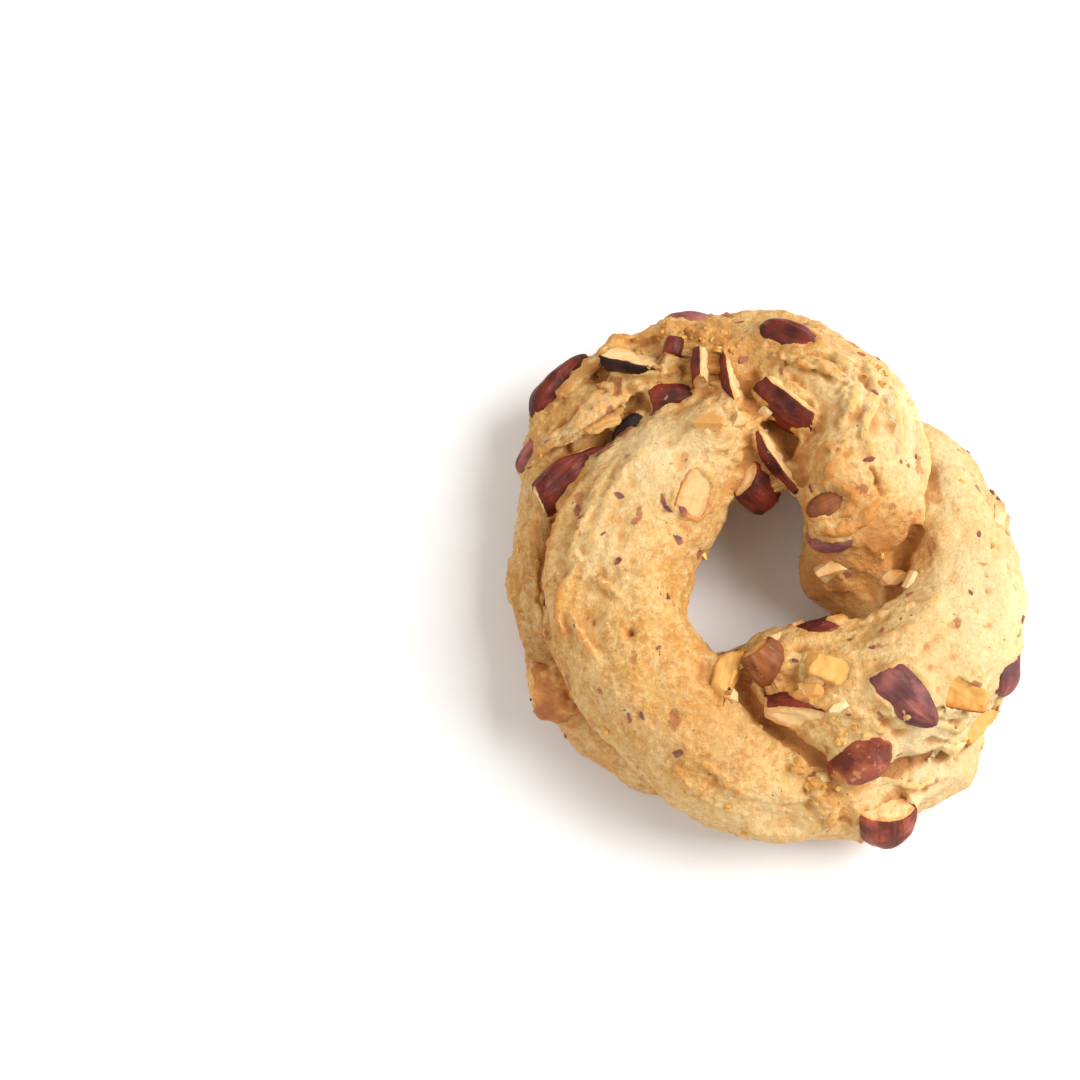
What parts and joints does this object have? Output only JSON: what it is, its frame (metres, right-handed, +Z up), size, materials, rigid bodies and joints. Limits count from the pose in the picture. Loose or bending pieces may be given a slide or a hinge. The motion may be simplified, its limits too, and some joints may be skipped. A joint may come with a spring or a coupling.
{
  "type": "tarallo",
  "caption": "Baked ring biscuit of twisted dough strands set with chopped unpeeled almonds, with a hole through the middle; lies flat on its baked underside.",
  "frame": {"origin": "on the tray plane, under the middle of the ring's outer size", "axes": "+Z up out of the ring's face, +X to the right and -Y to the near edge as the ring is seen"},
  "size_m": [0.092, 0.0982, 0.0317],
  "materials": {
    "dough": "matt baked dough, pale golden, toasted on its ridges, with ground pepper and specks of almond skin",
    "almond_skin": "roasted almond with its wrinkled red-brown skin, cream on the chopped faces",
    "almond_flesh": "chopped almond flesh, cream to toasted gold"
  },
  "bodies": {
    "root": {"dough": "dough", "almond_long_skin_left": "almond_skin", "almond_skin_small_left": "almond_skin", "almond_skin_upper_left": "almond_skin", "almond_skin_left_crease": "almond_skin", "almond_dark_cut_top_left": "almond_skin", "almond_skin_top_small": "almond_skin", "almond_skin_top_edge": "almond_skin", "almond_skin_cut_top_a": "almond_skin", "almond_skin_cut_top_b": "almond_skin", "almond_skin_top_crease": "almond_skin", "almond_long_skin_top_right": "almond_skin", "almond_big_skin_top": "almond_skin", "almond_cut_half_hole_a": "almond_skin", "almond_cut_half_hole_b": "almond_skin", "almond_flush_slice_left": "almond_flesh", "almond_dark_under_lump": "almond_skin", "almond_tan_in_lump": "almond_skin", "almond_thin_skin_hole": "almond_skin", "almond_round_chunk_bottom": "almond_skin", "almond_golden_chunk_bottom": "almond_flesh", "almond_golden_slab_bottom": "almond_flesh", "almond_skin_cut_bottom": "almond_skin", "almond_big_wedge_right": "almond_skin", "almond_golden_cut_right": "almond_flesh", "almond_round_half_bottom": "almond_skin", "almond_cut_half_outer_edge": "almond_skin", "almond_tan_half_lower_left": "almond_skin", "almond_golden_chunk_right": "almond_flesh", "almond_skin_sliver_right": "almond_skin", "almond_skin_small_right": "almond_skin", "almond_skin_back_right": "almond_skin", "almond_skin_back_left": "almond_skin"}
  },
  "joints": []
}
